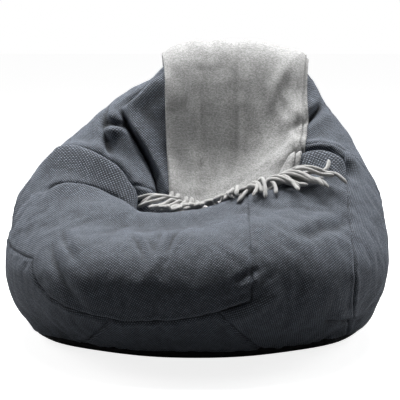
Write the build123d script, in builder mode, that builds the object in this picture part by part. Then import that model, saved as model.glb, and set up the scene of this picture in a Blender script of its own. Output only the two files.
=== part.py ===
from build123d import *
import math
import os

# Bean bag chair with a backrest: sewn cover, inner liner, bead filling, rear zip and a fringed throw.
# Millimetres. Origin on the floor under the middle, +Z up, the seat faces -Y.

# Overall size
HALF_WIDTH = 502.0
HALF_DEPTH = 465.0
MID_Y = -7.2
WIDEST_Z = 215.0
PLAN_POWER = 2.3
SECTIONS = 19

# Distance of each layer's surface below the outside of the cover
COVER_INSIDE = 3.0
LINER_OUTSIDE = 4.3
LINER_INSIDE = 5.5
FILLING_OUTSIDE = 6.4
THROW_THICKNESS = 13.5
THROW_CLEARANCE = 0.6

# Seams
BASE_SEAM_Z = 15.0
BASE_SEAM_RISE = 0.09
BACK_SEAM_X = -170.0
FRONT_SEAM_X = 129.0
SIDE_SEAM_X = 383.0
SEAT_SEAM_Y = 0.0
CREST_SEAM_Y = 262.0
FLANK_SEAM_Z = 262.0

# Zip in the lower left of the back
ZIP_FOOT = (BACK_SEAM_X, 400.0, 140.0)
ZIP_LEAN = 9.0
ZIP_LENGTH = 262.0
ZIP_OPENING = 30.0
TAPE_WIDTH = 11.4
TAPE_THICKNESS = 1.0
TOOTH_PITCH = 5.0
TOOTH_THICKNESS = 2.6
SLIDER_LENGTH = 13.0
SLIDER_WIDTH = 12.0

# Throw, folded lengthwise in three and laid over the backrest
THROW_LEFT = -95.0
THROW_RIGHT = 305.0
THROW_FRONT_Y = -50.0
THROW_REAR_Z = 128.0
TASSELS = 34
TASSEL_RADIUS = 4.2
REAR_TASSEL_LENGTH = 92.0

os.makedirs("parts", exist_ok=True)


def ramp(t):
    t = min(1.0, max(0.0, t))
    return t * t * (3 - 2 * t)


def bell(x, y, centre, spread, powers):
    u = abs((x - centre[0]) / spread[0]) ** powers[0]
    v = abs((y - centre[1]) / spread[1]) ** powers[1]
    return math.exp(-u - v)


def half_width_at(y, inset):
    s = abs((y - MID_Y) / (HALF_DEPTH - inset))
    return (HALF_WIDTH - inset) * max(0.0, 1 - s**PLAN_POWER) ** (1 / PLAN_POWER)


def plan_radius(x, y, inset):
    u = abs(x / (HALF_WIDTH - inset)) ** PLAN_POWER
    v = abs((y - MID_Y) / (HALF_DEPTH - inset)) ** PLAN_POWER
    return min(1.0, (u + v) ** (1 / PLAN_POWER))


def upper_surface(x, y, inset):
    """Height of the slumped bag: a dome with shoulders, a head, a front lip and a seat hollow."""
    fullness = 2.6 + 1.4 * ramp((x + 150) / 450)
    e = max(0.0, 1 - plan_radius(x, y, inset) ** fullness)
    dome = 180 + 212 * ramp((y + 269) / 350) - inset
    shoulders = 104 * bell(x, y, (82, 226), (358 - inset, 150 - inset), (5, 3))
    head = 58 * bell(x, y, (120, 246), (218 - inset, 128 - inset), (10, 3))
    lip_notch = 60 * bell(x, y, (-80, -194), (190 + inset, 140 + inset), (2.4, 2.6))
    seat_hollow = 215 * bell(x, y, (-5, 1), (270 + inset, 125 + inset), (2.6, 3.5))
    return WIDEST_Z + dome * e**0.5 + (shoulders + head) * e**0.35 - lip_notch - seat_hollow


def undercut(y):
    """How square the foot is: the front curves well under, the sides and back stand almost upright."""
    return 2.1 + 4.4 * ramp((y + 270) / 260) - 1.6 * ramp((y - 60) / 260)


def lower_surface(x, y, inset):
    """Height of the underside between the widest level and the floor."""
    e = max(0.0, 1 - plan_radius(x, y, inset) ** undercut(y))
    return WIDEST_Z - (WIDEST_Z + 40 - inset) * e**0.5


def rear_y_at(x, z, inset):
    """Position of the bag's rear surface below its widest level."""
    e = ((WIDEST_Z - z) / (WIDEST_Z + 40 - inset)) ** 2
    r = (1 - e) ** (PLAN_POWER / undercut(400))
    u = abs(x / (HALF_WIDTH - inset)) ** PLAN_POWER
    return MID_Y + (HALF_DEPTH - inset) * (r - u) ** (1 / PLAN_POWER)


def bag_section(y, inset):
    """Closed outline of the bag in a plane across its width."""
    half = half_width_at(y, inset)
    points = []
    for i in range(24):
        x = half * math.cos(math.pi * i / 24)
        points.append((x, upper_surface(x, y, inset)))
    for i in range(16):
        x = -half * math.cos(math.pi * i / 16)
        points.append((x, lower_surface(x, y, inset)))
    with BuildSketch(Plane.XZ.offset(-y)) as section:
        with BuildLine():
            Spline(*points, periodic=True)
        make_face()
    return section.sketch


def bag_layer(inset):
    """Solid bounded by the bag's surface moved inwards, open below the floor."""
    with BuildPart() as layer:
        for k in range(SECTIONS):
            angle = math.radians(-86.5 + 173 * k / (SECTIONS - 1))
            add(bag_section(MID_Y + (HALF_DEPTH - inset) * math.sin(angle), inset))
        loft()
    return layer.part


def half_space(plane):
    """Large block standing on a plane, used to divide the shells along their seams."""
    with BuildPart(plane) as block:
        Box(3000, 3000, 2000, align=(Align.CENTER, Align.CENTER, Align.MIN))
    return block.part


# Frame of the zip: local X across it, local Y up along it, local Z out of the bag
lean = math.radians(ZIP_LEAN)
zip_up = (0, -math.sin(lean), math.cos(lean))
zip_out = (0, math.cos(lean), math.sin(lean))
zip_plane = Plane(origin=ZIP_FOOT, x_dir=(-1, 0, 0), z_dir=zip_out)

# Seam planes
with BuildPart() as base_region:
    with Locations((0, 0, BASE_SEAM_Z)):
        Box(3000, 3000, 500, align=(Align.CENTER, Align.CENTER, Align.MAX))
    with Locations(Plane(origin=(0, 0, BASE_SEAM_Z), z_dir=(0, BASE_SEAM_RISE, 1))):
        Box(3000, 3000, 500, align=(Align.CENTER, Align.CENTER, Align.MAX))
behind_seat_seam = half_space(Plane(origin=(0, SEAT_SEAM_Y, 0), z_dir=(0, 1, 0)))
behind_crest_seam = half_space(Plane(origin=(0, CREST_SEAM_Y, 0), z_dir=(0, 1, 0)))
right_of_back_seam = half_space(Plane(origin=(BACK_SEAM_X, 0, 0), z_dir=(1, 0, 0)))
right_of_front_seam = half_space(Plane(origin=(FRONT_SEAM_X, 0, 0), z_dir=(1, 0, 0)))
right_of_side_seam = half_space(Plane(origin=(SIDE_SEAM_X, 0, 0), z_dir=(1, 0, 0)))
above_smile_seam = half_space(Plane(origin=(0, -470, 148), z_dir=(-0.306, -1.339, 1)))
left_of_band = half_space(Plane(origin=(-320, 0, 0), z_dir=(-1, 0, 0.8)))
right_of_band = half_space(Plane(origin=(200, 0, 0), z_dir=(1, 0, 0.85)))

with BuildPart() as foot_region:
    with Locations((0, 0, FLANK_SEAM_Z)):
        Box(3000, 3000, 2000, align=(Align.CENTER, Align.CENTER, Align.MAX))
    add(above_smile_seam, mode=Mode.SUBTRACT)


# Filling of expanded polystyrene beads
with BuildPart() as bean_filling:
    add(bag_layer(FILLING_OUTSIDE))
    add(half_space(Plane.XY.offset(FILLING_OUTSIDE)), mode=Mode.INTERSECT)
    add(half_space(zip_plane.offset(-FILLING_OUTSIDE)), mode=Mode.SUBTRACT)
bean_filling.part.label = "bean_filling"
export_step(bean_filling.part, "parts/bean_filling.step")

# Liner that holds the beads
with BuildPart() as liner_hollow:
    add(bag_layer(LINER_INSIDE))
    add(half_space(Plane.XY.offset(LINER_INSIDE)), mode=Mode.INTERSECT)
    add(half_space(zip_plane.offset(-LINER_INSIDE)), mode=Mode.SUBTRACT)

with BuildPart() as inner_liner:
    add(bag_layer(LINER_OUTSIDE))
    add(half_space(Plane.XY.offset(LINER_OUTSIDE)), mode=Mode.INTERSECT)
    add(half_space(zip_plane.offset(-LINER_OUTSIDE)), mode=Mode.SUBTRACT)
    add(liner_hollow.part, mode=Mode.SUBTRACT)
inner_liner.part.label = "inner_liner"
export_step(inner_liner.part, "parts/inner_liner.step")

# Whole cover, before it is divided into its sewn panels
with BuildPart() as cover_hollow:
    add(bag_layer(COVER_INSIDE))
    add(half_space(Plane.XY.offset(COVER_INSIDE)), mode=Mode.INTERSECT)
    add(half_space(zip_plane.offset(-COVER_INSIDE)), mode=Mode.SUBTRACT)

with BuildPart() as bag_outside:
    add(bag_layer(0))
    add(half_space(Plane.XY), mode=Mode.INTERSECT)
    add(half_space(zip_plane), mode=Mode.SUBTRACT)

with BuildPart() as zip_opening:
    with Locations(zip_plane):
        with Locations((0, ZIP_LENGTH / 2, 0)):
            Box(ZIP_OPENING, ZIP_LENGTH + 3, 12)

with BuildPart() as cover:
    add(bag_outside.part)
    add(cover_hollow.part, mode=Mode.SUBTRACT)
    add(zip_opening.part, mode=Mode.SUBTRACT)

# Base panel, turned up at its edge and further at the front
with BuildPart() as base_panel:
    add(cover.part)
    add(base_region.part, mode=Mode.INTERSECT)
base_panel.part.label = "base_panel"
export_step(base_panel.part, "parts/base_panel.step")

with BuildPart() as front_half:
    add(cover.part)
    add(base_region.part, mode=Mode.SUBTRACT)
    add(behind_seat_seam, mode=Mode.SUBTRACT)

with BuildPart() as rear_half:
    add(cover.part)
    add(base_region.part, mode=Mode.SUBTRACT)
    add(behind_seat_seam, mode=Mode.INTERSECT)

# Front lobe of the seat, left of the seam over the lip
with BuildPart() as front_left_panel:
    add(front_half.part)
    add(foot_region.part, mode=Mode.SUBTRACT)
    add(right_of_front_seam, mode=Mode.SUBTRACT)
front_left_panel.part.label = "front_left_panel"
export_step(front_left_panel.part, "parts/front_left_panel.step")

# Right lobe, which reaches down to the base beside the front band
with BuildPart() as front_right_panel:
    add(front_half.part)
    add(right_of_side_seam, mode=Mode.SUBTRACT)
    add(front_left_panel.part, mode=Mode.SUBTRACT)
    add(right_of_band, mode=Mode.INTERSECT)
front_right_panel.part.label = "front_right_panel"
export_step(front_right_panel.part, "parts/front_right_panel.step")

# Band across the foot of the front
with BuildPart() as front_band:
    add(front_half.part)
    add(foot_region.part, mode=Mode.INTERSECT)
    add(left_of_band, mode=Mode.SUBTRACT)
    add(right_of_band, mode=Mode.SUBTRACT)
front_band.part.label = "front_band"
export_step(front_band.part, "parts/front_band.step")

# Left flank below the lobe
with BuildPart() as left_side_panel:
    add(front_half.part)
    add(foot_region.part, mode=Mode.INTERSECT)
    add(left_of_band, mode=Mode.INTERSECT)
left_side_panel.part.label = "left_side_panel"
export_step(left_side_panel.part, "parts/left_side_panel.step")

# Right flank
with BuildPart() as right_side_panel:
    add(front_half.part)
    add(right_of_side_seam, mode=Mode.INTERSECT)
right_side_panel.part.label = "right_side_panel"
export_step(right_side_panel.part, "parts/right_side_panel.step")

# Band over the backrest, from the seat to the crest
with BuildPart() as backrest_panel:
    add(rear_half.part)
    add(behind_crest_seam, mode=Mode.SUBTRACT)
backrest_panel.part.label = "backrest_panel"
export_step(backrest_panel.part, "parts/backrest_panel.step")

# Back, in two halves that meet at the zip
with BuildPart() as back_left_panel:
    add(rear_half.part)
    add(behind_crest_seam, mode=Mode.INTERSECT)
    add(right_of_back_seam, mode=Mode.SUBTRACT)
back_left_panel.part.label = "back_left_panel"
export_step(back_left_panel.part, "parts/back_left_panel.step")

with BuildPart() as back_right_panel:
    add(rear_half.part)
    add(behind_crest_seam, mode=Mode.INTERSECT)
    add(right_of_back_seam, mode=Mode.INTERSECT)
back_right_panel.part.label = "back_right_panel"
export_step(back_right_panel.part, "parts/back_right_panel.step")

# Zip tapes, one each side of the teeth
tape_centre = ZIP_OPENING / 2 - 0.2 - TAPE_WIDTH / 2

with BuildPart() as cover_zip_tape_left:
    with Locations(zip_plane):
        with Locations((tape_centre, ZIP_LENGTH / 2, -1.5)):
            Box(TAPE_WIDTH, ZIP_LENGTH + 2, TAPE_THICKNESS)
cover_zip_tape_left.part.label = "cover_zip_tape_left"
export_step(cover_zip_tape_left.part, "parts/cover_zip_tape_left.step")

with BuildPart() as cover_zip_tape_right:
    with Locations(zip_plane):
        with Locations((-tape_centre, ZIP_LENGTH / 2, -1.5)):
            Box(TAPE_WIDTH, ZIP_LENGTH + 2, TAPE_THICKNESS)
cover_zip_tape_right.part.label = "cover_zip_tape_right"
export_step(cover_zip_tape_right.part, "parts/cover_zip_tape_right.step")

# Rows of teeth, each on a bead clamped over the tape's edge
tooth_count = int((ZIP_LENGTH - 16) / TOOTH_PITCH)
tape_edge = ZIP_OPENING / 2 - 0.2 - TAPE_WIDTH

with BuildPart() as cover_zip_teeth_left:
    with Locations(zip_plane):
        with Locations((tape_edge - 0.9, ZIP_LENGTH / 2, -1.5)):
            Box(1.6, tooth_count * TOOTH_PITCH, TOOTH_THICKNESS)
        with Locations((tape_edge - 1.9, ZIP_LENGTH / 2, -1.5)):
            with GridLocations(0, TOOTH_PITCH, 1, tooth_count):
                Box(1.2, TOOTH_PITCH / 2, TOOTH_THICKNESS)
cover_zip_teeth_left.part.label = "cover_zip_teeth_left"
export_step(cover_zip_teeth_left.part, "parts/cover_zip_teeth_left.step")

with BuildPart() as cover_zip_teeth_right:
    with Locations(zip_plane):
        with Locations((0.9 - tape_edge, ZIP_LENGTH / 2, -1.5)):
            Box(1.6, tooth_count * TOOTH_PITCH, TOOTH_THICKNESS)
        with Locations((1.9 - tape_edge, ZIP_LENGTH / 2, -1.5)):
            with GridLocations(0, TOOTH_PITCH, 1, tooth_count):
                Box(1.2, TOOTH_PITCH / 2, TOOTH_THICKNESS)
cover_zip_teeth_right.part.label = "cover_zip_teeth_right"
export_step(cover_zip_teeth_right.part, "parts/cover_zip_teeth_right.step")

# Stops that keep the slider on the teeth
with BuildPart() as cover_zip_top_stop:
    with Locations(zip_plane):
        with Locations((0, ZIP_LENGTH - 4, -1.5)):
            Box(2 * tape_edge - 0.6, 4, 3.2)
    fillet(cover_zip_top_stop.edges().filter_by(Axis(ZIP_FOOT, zip_out)), radius=1)
cover_zip_top_stop.part.label = "cover_zip_top_stop"
export_step(cover_zip_top_stop.part, "parts/cover_zip_top_stop.step")

with BuildPart() as cover_zip_bottom_stop:
    with Locations(zip_plane):
        with Locations((0, 4, -1.5)):
            Box(2 * tape_edge - 0.6, 5, 3.2)
    fillet(cover_zip_bottom_stop.edges().filter_by(Axis(ZIP_FOOT, zip_out)), radius=1)
cover_zip_bottom_stop.part.label = "cover_zip_bottom_stop"
export_step(cover_zip_bottom_stop.part, "parts/cover_zip_bottom_stop.step")

# Slider: two plates joined by a narrow neck between the rows of teeth, with a bridge for the tab
slider_y = ZIP_LENGTH - 8 - SLIDER_LENGTH / 2

with BuildPart() as cover_zip_slider:
    with Locations(zip_plane):
        with Locations((0, slider_y, 1.0)):
            Box(SLIDER_WIDTH, SLIDER_LENGTH, 1.6)
        with Locations((0, slider_y, -3.4)):
            Box(SLIDER_WIDTH - 2, SLIDER_LENGTH, 0.7)
        with Locations((0, slider_y, -1.5)):
            Box(0.8, SLIDER_LENGTH - 3, 3.8)
        with Locations((0, slider_y + 4.0, 3.2), (0, slider_y - 4.0, 3.2)):
            Box(2.4, 1.4, 3.6)
        with Locations((0, slider_y, 5.2)):
            Box(2.4, 9.4, 1.2)
    fillet(cover_zip_slider.edges().filter_by(Axis(ZIP_FOOT, zip_out)).group_by(Axis.X)[0], radius=2)
    fillet(cover_zip_slider.edges().filter_by(Axis(ZIP_FOOT, zip_out)).group_by(Axis.X)[-1], radius=2)
cover_zip_slider.part.label = "cover_zip_slider"
export_step(cover_zip_slider.part, "parts/cover_zip_slider.step")

# Pull tab: a flat tab whose eye loops round the bridge on a round bar
tab_pivot = (0, slider_y, 3.35)

with BuildPart() as cover_zip_pull_tab:
    with BuildSketch(zip_plane.offset(tab_pivot[2] - 0.6)):
        with Locations((0, slider_y - 16)):
            SlotOverall(32, 8, rotation=90)
        with Locations((0, slider_y - 3.4)):
            Rectangle(3.8, 5.6, mode=Mode.SUBTRACT)
        with Locations((0, slider_y - 24)):
            Circle(1.8, mode=Mode.SUBTRACT)
    extrude(amount=1.2)
cover_zip_pull_tab.part.label = "cover_zip_pull_tab"
export_step(cover_zip_pull_tab.part, "parts/cover_zip_pull_tab.step")

# Throw: the folded cloth from the seat, up over the head and down the back
with BuildPart() as throw_blanket:
    add(bag_layer(-THROW_CLEARANCE - THROW_THICKNESS))
    add(bag_layer(-THROW_CLEARANCE), mode=Mode.SUBTRACT)
    with Locations(((THROW_LEFT + THROW_RIGHT) / 2, THROW_FRONT_Y, THROW_REAR_Z)):
        Box(
            THROW_RIGHT - THROW_LEFT,
            1000,
            1000,
            align=(Align.CENTER, Align.MIN, Align.MIN),
            mode=Mode.INTERSECT,
        )
throw_blanket.part.label = "throw_blanket"
export_step(throw_blanket.part, "parts/throw_blanket.step")

# Fringe of tassels at the end that lies in the seat
tassel_pitch = (THROW_RIGHT - THROW_LEFT - 10) / (TASSELS - 1)

with BuildPart() as throw_front_fringe:
    for k in range(TASSELS):
        x = THROW_LEFT + 5 + tassel_pitch * k
        lie = [THROW_FRONT_Y - 4 - 22 * i for i in range(5)]
        with BuildLine():
            tassel = Spline(*[(x, y, upper_surface(x, y, 0) + 8) for y in lie])
        with BuildSketch(Plane(origin=tassel @ 0, z_dir=tassel % 0)):
            Circle(TASSEL_RADIUS)
        sweep(path=tassel)
throw_front_fringe.part.label = "throw_front_fringe"
export_step(throw_front_fringe.part, "parts/throw_front_fringe.step")

# Fringe that hangs behind the back
with BuildPart() as throw_back_fringe:
    for k in range(TASSELS):
        x = THROW_LEFT + 5 + tassel_pitch * k
        y = rear_y_at(x, THROW_REAR_Z, -THROW_CLEARANCE - THROW_THICKNESS / 2)
        with BuildSketch(Plane(origin=(x, y, THROW_REAR_Z - 0.5), z_dir=(0, 0, -1))):
            Circle(TASSEL_RADIUS)
        extrude(amount=REAR_TASSEL_LENGTH, taper=1.2)
throw_back_fringe.part.label = "throw_back_fringe"
export_step(throw_back_fringe.part, "parts/throw_back_fringe.step")
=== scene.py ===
import math
import bpy
import bmesh
import numpy as np
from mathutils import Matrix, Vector, noise
from mathutils.bvhtree import BVHTree
from mathutils.kdtree import KDTree


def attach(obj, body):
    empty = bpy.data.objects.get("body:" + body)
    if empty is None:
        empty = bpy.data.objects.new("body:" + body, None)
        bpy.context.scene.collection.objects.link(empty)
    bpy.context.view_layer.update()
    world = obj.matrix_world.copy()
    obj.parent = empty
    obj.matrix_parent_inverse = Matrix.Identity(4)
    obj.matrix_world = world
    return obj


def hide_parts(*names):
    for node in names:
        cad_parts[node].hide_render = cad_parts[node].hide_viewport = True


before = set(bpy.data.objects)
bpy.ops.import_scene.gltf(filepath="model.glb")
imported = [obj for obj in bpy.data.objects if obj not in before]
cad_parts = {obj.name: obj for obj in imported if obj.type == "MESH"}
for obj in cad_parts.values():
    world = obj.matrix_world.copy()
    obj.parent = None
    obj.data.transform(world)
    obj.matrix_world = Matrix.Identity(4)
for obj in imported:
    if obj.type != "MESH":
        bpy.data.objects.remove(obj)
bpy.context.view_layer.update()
SCENE = bpy.context.scene
RNG = np.random.default_rng(11)

# ---------------------------------------------------------------- helpers


def link(ob):
    SCENE.collection.objects.link(ob)
    return ob


def coords(me):
    a = np.empty(len(me.vertices) * 3)
    me.vertices.foreach_get("co", a)
    return a.reshape(-1, 3)


def set_coords(me, a):
    me.vertices.foreach_set("co", np.ascontiguousarray(a, dtype=np.float64).ravel())
    me.update()


def normals(me):
    a = np.empty(len(me.vertices) * 3)
    me.vertex_normals.foreach_get("vector", a)
    return a.reshape(-1, 3)


def edge_pairs(me):
    a = np.empty(len(me.edges) * 2, dtype=np.int32)
    me.edges.foreach_get("vertices", a)
    return a.reshape(-1, 2)


def neighbour_mean(values, pairs):
    n = len(values)
    i, j = pairs[:, 0], pairs[:, 1]
    degree = np.maximum(np.bincount(i, minlength=n) + np.bincount(j, minlength=n), 1)
    out = np.empty_like(values)
    for k in range(values.shape[1]):
        out[:, k] = np.bincount(i, values[j, k], n) + np.bincount(j, values[i, k], n)
    return out / degree[:, None]


def smoothed(values, pairs, times, amount=0.5):
    for _ in range(times):
        values = values + (neighbour_mean(values, pairs) - values) * amount
    return values


def ease(t):
    t = np.clip(t, 0.0, 1.0)
    return t * t * (3 - 2 * t)


def evaluated(ob):
    bpy.context.view_layer.update()
    graph = bpy.context.evaluated_depsgraph_get()
    return bpy.data.meshes.new_from_object(ob.evaluated_get(graph))


def bake_modifiers(ob):
    me = evaluated(ob)
    ob.modifiers.clear()
    old = ob.data
    ob.data = me
    bpy.data.meshes.remove(old)


def noise_at(points, scale, seed):
    return np.array([noise.noise(Vector((p[0] * scale + seed, p[1] * scale - seed, p[2] * scale))) for p in points])


def mesh_piece(name, verts, faces, smooth=True):
    me = bpy.data.meshes.new(name)
    me.from_pydata([tuple(v) for v in verts], [], faces)
    me.validate()
    if smooth:
        me.shade_smooth()
    return link(bpy.data.objects.new(name, me))


# ---------------------------------------------------------------- materials


class Nodes:
    """Small wrapper that keeps node trees readable."""

    def __init__(self, name):
        self.material = bpy.data.materials.new(name)
        self.material.use_nodes = True
        self.tree = self.material.node_tree
        self.shader = self.tree.nodes["Principled BSDF"]

    def add(self, kind, **settings):
        node = self.tree.nodes.new(kind)
        for key, value in settings.items():
            setattr(node, key, value)
        return node

    def join(self, out, into):
        self.tree.links.new(out, into)

    def math(self, operation, a, b=None):
        node = self.add("ShaderNodeMath", operation=operation)
        for socket, value in zip(node.inputs, (a, b)):
            if value is None:
                continue
            if isinstance(value, (int, float)):
                socket.default_value = value
            else:
                self.join(value, socket)
        return node.outputs[0]

    def mix(self, factor, a, b, blend="MIX"):
        node = self.add("ShaderNodeMix", data_type="RGBA", blend_type=blend)
        for socket, value in ((node.inputs[0], factor), (node.inputs[6], a), (node.inputs[7], b)):
            if isinstance(value, (int, float)):
                socket.default_value = value
            elif isinstance(value, tuple):
                socket.default_value = (*value, 1.0)
            else:
                self.join(value, socket)
        return node.outputs[2]

    def noise(self, vector, scale, detail=3.0, roughness=0.55):
        node = self.add("ShaderNodeTexNoise")
        self.join(vector, node.inputs["Vector"])
        node.inputs["Scale"].default_value = scale
        node.inputs["Detail"].default_value = detail
        node.inputs["Roughness"].default_value = roughness
        return node.outputs["Fac"]

    def bump(self, height, distance, strength=1.0, normal=None):
        node = self.add("ShaderNodeBump")
        node.inputs["Distance"].default_value = distance
        node.inputs["Strength"].default_value = strength
        self.join(height, node.inputs["Height"])
        if normal is not None:
            self.join(normal, node.inputs["Normal"])
        return node.outputs["Normal"]


def woven(name, pitch, dark, light, roughness, sheen, bump, melange=0.5, broad=0.18, sheen_tint=(1, 1, 1)):
    """Plain weave drawn from the UV map, which is in metres: threads over and under, each its own shade."""
    n = Nodes(name)
    uv = n.add("ShaderNodeUVMap", uv_map="weave").outputs[0]
    place = n.add("ShaderNodeTexCoord").outputs["Object"]
    wobble = n.add("ShaderNodeMapping")
    n.join(uv, wobble.inputs["Vector"])
    wobble.inputs["Scale"].default_value = (1 / pitch, 1 / pitch, 1)
    apart = n.add("ShaderNodeSeparateXYZ")
    n.join(wobble.outputs[0], apart.inputs[0])
    u, v = apart.outputs[0], apart.outputs[1]
    u_cell, v_cell = n.math("FLOOR", u), n.math("FLOOR", v)
    parity = n.math("MODULO", n.math("ABSOLUTE", n.math("ADD", u_cell, v_cell)), 2.0)
    ridge_u = n.math("ABSOLUTE", n.math("SINE", n.math("MULTIPLY", u, math.pi)))
    ridge_v = n.math("ABSOLUTE", n.math("SINE", n.math("MULTIPLY", v, math.pi)))
    over = n.math("MULTIPLY", ridge_u, parity)
    under = n.math("MULTIPLY", ridge_v, n.math("SUBTRACT", 1.0, parity))
    height = n.math("ADD", over, under)
    cell = n.add("ShaderNodeCombineXYZ")
    n.join(u_cell, cell.inputs[0])
    n.join(v_cell, cell.inputs[1])
    white = n.add("ShaderNodeTexWhiteNoise", noise_dimensions="3D")
    n.join(cell.outputs[0], white.inputs["Vector"])
    slub = n.noise(wobble.outputs[0], 0.16, 2.0)
    weft = n.math("MULTIPLY", n.math("SUBTRACT", 1.0, parity), n.math("ADD", 1.0 - melange, n.math("MULTIPLY", white.outputs["Value"], melange)))
    warp = n.math("MULTIPLY", parity, 0.16)
    tone = n.math("MULTIPLY", n.math("ADD", weft, warp), n.math("ADD", 0.45, n.math("MULTIPLY", slub, 1.1)))
    colour = n.mix(n.math("MULTIPLY", tone, n.math("POWER", height, 2.4)), dark, light)
    clouds = n.noise(place, 7.0, 3.0)
    shade = n.math("ADD", 1.0 - broad, n.math("MULTIPLY", clouds, 2 * broad))
    # painted shade: the cloth colour is darkened in the folds and made paler on the ridges, read from the hollow depth
    # attribute
    painted_fold_shade = n.add("ShaderNodeAttribute", attribute_name="hollow").outputs["Fac"]
    shade = n.math("MULTIPLY", shade, n.math("SUBTRACT", 1.0, n.math("MULTIPLY", painted_fold_shade, 0.9)))
    toned = n.mix(1.0, colour, n.mix(shade, (0, 0, 0), (1, 1, 1)), "MULTIPLY")
    n.join(toned, n.shader.inputs["Base Color"])
    n.join(n.bump(height, bump, 1.0, n.bump(clouds, 0.004, 0.35)), n.shader.inputs["Normal"])
    n.shader.inputs["Roughness"].default_value = roughness
    n.shader.inputs["Specular IOR Level"].default_value = 0.3
    n.shader.inputs["Sheen Weight"].default_value = sheen
    n.shader.inputs["Sheen Roughness"].default_value = 0.45
    n.shader.inputs["Sheen Tint"].default_value = (*sheen_tint, 1.0)
    return n.material


def yarn(name, dark, light):
    n = Nodes(name)
    place = n.add("ShaderNodeTexCoord").outputs["Object"]
    strands = n.noise(place, 420.0, 3.0)
    broad = n.noise(place, 35.0, 2.0)
    colour = n.mix(n.math("ADD", n.math("MULTIPLY", strands, 0.6), n.math("MULTIPLY", broad, 0.4)), dark, light)
    n.join(colour, n.shader.inputs["Base Color"])
    n.join(n.bump(strands, 0.0012), n.shader.inputs["Normal"])
    n.shader.inputs["Roughness"].default_value = 0.95
    n.shader.inputs["Sheen Weight"].default_value = 0.35
    n.shader.inputs["Sheen Roughness"].default_value = 0.6
    return n.material


def brushed(name, dark, light):
    """Napped throw cloth: fine fibres lying along it, a faint twill and soft blotches where the nap turns."""
    n = Nodes(name)
    uv = n.add("ShaderNodeUVMap", uv_map="weave").outputs[0]
    place = n.add("ShaderNodeTexCoord").outputs["Object"]
    fine = n.add("ShaderNodeMapping")
    n.join(uv, fine.inputs["Vector"])
    fine.inputs["Scale"].default_value = (420, 900, 1)
    fibres = n.noise(fine.outputs[0], 1.0, 3.0, 0.6)
    twill = n.add("ShaderNodeTexWave", wave_type="BANDS", bands_direction="DIAGONAL")
    n.join(uv, twill.inputs["Vector"])
    twill.inputs["Scale"].default_value = 130.0
    twill.inputs["Distortion"].default_value = 1.5
    nap = n.noise(place, 16.0, 3.0)
    threads = n.add("ShaderNodeMapping")
    n.join(uv, threads.inputs["Vector"])
    threads.inputs["Scale"].default_value = (300, 520, 1)
    heather = n.add("ShaderNodeTexWhiteNoise", noise_dimensions="3D")
    snapped = n.add("ShaderNodeVectorMath", operation="FLOOR")
    n.join(threads.outputs[0], snapped.inputs[0])
    n.join(snapped.outputs[0], heather.inputs["Vector"])
    tone = n.math("ADD", n.math("MULTIPLY", fibres, 0.35), n.math("MULTIPLY", twill.outputs["Fac"], 0.10))
    tone = n.math("ADD", tone, n.math("MULTIPLY", heather.outputs["Value"], 0.42))
    tone = n.math("ADD", tone, n.math("MULTIPLY", nap, 0.10))
    n.join(n.mix(tone, dark, light), n.shader.inputs["Base Color"])
    n.join(n.bump(fibres, 0.0007, 1.0, n.bump(twill.outputs["Fac"], 0.0005, 0.8, n.bump(nap, 0.002, 0.3))), n.shader.inputs["Normal"])
    n.shader.inputs["Roughness"].default_value = 0.95
    n.shader.inputs["Specular IOR Level"].default_value = 0.2
    n.shader.inputs["Sheen Weight"].default_value = 0.05
    n.shader.inputs["Sheen Roughness"].default_value = 0.5
    return n.material


def hard(name, colour, roughness, metallic, grain):
    n = Nodes(name)
    place = n.add("ShaderNodeTexCoord").outputs["Object"]
    marks = n.noise(place, grain, 4.0)
    n.join(n.mix(marks, tuple(0.8 * c for c in colour), tuple(1.25 * c for c in colour)), n.shader.inputs["Base Color"])
    n.join(n.bump(marks, 0.0002, 0.5), n.shader.inputs["Normal"])
    n.shader.inputs["Roughness"].default_value = roughness
    n.shader.inputs["Metallic"].default_value = metallic
    return n.material


COVER = woven("cover_cloth_look", 0.0034, (0.001, 0.002, 0.004), (0.255, 0.292, 0.356), 0.66, 0.28, 0.0010, 0.45, 0.08, (0.78, 0.86, 1.0))
BASE = woven("base_cloth_look", 0.0022, (0.004, 0.004, 0.005), (0.018, 0.018, 0.021), 0.75, 0.05, 0.0004, 0.6, 0.1)
THROW = brushed("throw_look", (0.09, 0.09, 0.089), (0.50, 0.50, 0.495))
YARN = yarn("fringe_look", (0.15, 0.149, 0.146), (0.46, 0.455, 0.445))
TAPE = hard("zip_tape_look", (0.02, 0.023, 0.028), 0.9, 0.0, 900.0)
TEETH = hard("zip_teeth_look", (0.025, 0.027, 0.03), 0.4, 0.0, 400.0)
METAL = hard("zip_metal_look", (0.06, 0.062, 0.066), 0.35, 0.8, 300.0)
for node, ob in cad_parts.items():
    look = TAPE if "tape" in node else TEETH if "teeth" in node else METAL if "zip" in node else None
    if look:
        ob.data.materials.clear()
        ob.data.materials.append(look)

# ---------------------------------------------------------------- camera and light

ELEVATION = math.radians(10.6)
FORWARD = Vector((0, math.cos(ELEVATION), -math.sin(ELEVATION)))
UP = Vector((0, math.sin(ELEVATION), math.cos(ELEVATION)))
AIM = Vector((0.008, 0.031, 0.300)) + UP * 0.048
camera = bpy.data.objects.new("camera", bpy.data.cameras.new("camera"))
camera.data.sensor_width = 36
camera.data.lens = 36 * 3.8 / 1.072
camera.location = AIM - FORWARD * 3.8
camera.rotation_euler = FORWARD.to_track_quat("-Z", "Y").to_euler()
link(camera)
SCENE.camera = camera


def softbox(name, place, target, size, power):
    lamp = bpy.data.lights.new(name, "AREA")
    lamp.shape = "RECTANGLE"
    lamp.size, lamp.size_y = size
    lamp.energy = power
    ob = link(bpy.data.objects.new(name, lamp))
    ob.location = place
    ob.rotation_euler = (Vector(target) - Vector(place)).to_track_quat("-Z", "Y").to_euler()


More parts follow.
